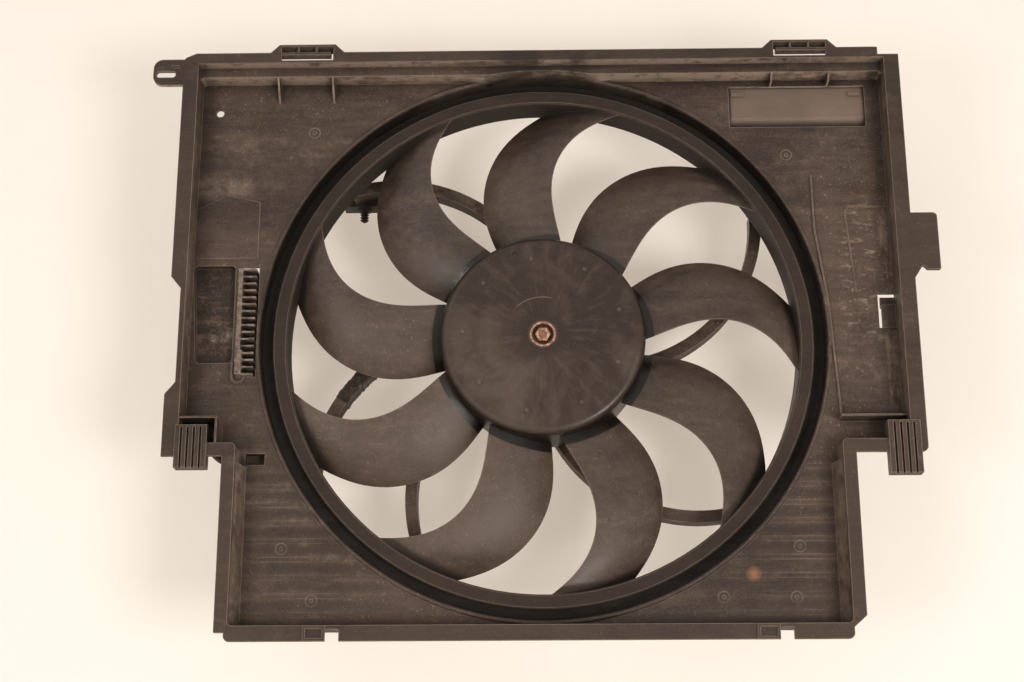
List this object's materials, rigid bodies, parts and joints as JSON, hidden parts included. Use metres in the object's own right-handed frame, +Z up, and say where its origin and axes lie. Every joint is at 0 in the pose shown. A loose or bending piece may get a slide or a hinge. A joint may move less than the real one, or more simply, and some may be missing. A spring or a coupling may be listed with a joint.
{
  "type": "radiator fan shroud",
  "caption": "Radiator cooling fan module: shallow framed shroud with round aperture, ring fan on a brushed motor held by curved struts, ram air flap, finned fan speed module and leads.",
  "frame": {"origin": "on the fan's axis, in the plane of the shroud's front rim, which meets the radiator", "axes": "+X to the right and +Z up as seen from the radiator, +Y back towards the engine along the fan's axis"},
  "size_m": [0.7145, 0.1225, 0.5525],
  "materials": {
    "shroud_plastic": "moulded filled nylon, matt dark grey-brown with pale dust",
    "fan_plastic": "moulded filled nylon, matt dark grey, dusty on the blades",
    "flap_plastic": "moulded plastic, matt dark grey",
    "nut_metal": "plated steel gone rusty brown",
    "bright_steel": "ground steel",
    "can_steel": "drawn steel, dark coating",
    "core_steel": "stacked laminations",
    "magnet_ferrite": "sintered ferrite",
    "winding_copper": "enamelled copper wire",
    "commutator_copper": "worn copper bars",
    "brush_carbon": "pressed carbon",
    "screw_steel": "zinc-plated steel",
    "sink_aluminium": "die-cast aluminium, bare, ragged at the fins' edges",
    "module_plastic": "moulded plastic, black",
    "board_laminate": "glass-fibre laminate",
    "plug_plastic": "moulded plastic, black",
    "clip_plastic": "moulded nylon",
    "lead_rubber": "sheathed cable, matt black",
    "grommet_rubber": "moulded rubber",
    "wrap_tape": "woven harness tape, frayed at its edges"
  },
  "bodies": {
    "frame": {"shroud_frame": "shroud_plastic", "motor_can": "can_steel", "motor_end_cap": "can_steel", "front_bearing": "bright_steel", "rear_bearing": "bright_steel", "field_magnets": "magnet_ferrite", "brush_plate": "module_plastic", "brushes": "brush_carbon", "brush_springs": "bright_steel", "motor_screws": "screw_steel", "module_heat_sink": "sink_aluminium", "module_housing": "module_plastic", "module_board": "board_laminate", "module_screws": "screw_steel", "module_plugs": "plug_plastic", "flap_hinge_rod": "bright_steel", "motor_lead": "lead_rubber", "lead_grommet": "grommet_rubber", "lead_wrap": "wrap_tape", "supply_lead": "lead_rubber", "supply_connector": "plug_plastic", "harness_clip": "clip_plastic"},
    "fan_rotor": {"fan": "fan_plastic", "fan_nut": "nut_metal", "motor_shaft": "bright_steel", "armature_core": "core_steel", "armature_winding": "winding_copper", "commutator": "commutator_copper"},
    "flap": {"ram_air_flap": "flap_plastic"}
  },
  "joints": [
    {"name": "fan_spin", "type": "hinge", "parent": "frame", "child": "fan_rotor", "pos_m": [0, 0.09, 0], "axis": [0, 1, 0], "continuous": true},
    {"name": "flap_swing", "type": "hinge", "parent": "frame", "child": "flap", "pos_m": [0.23925, 0.034, 0.2465], "axis": [1, 0, 0], "range_deg": [0, 75]}
  ]
}
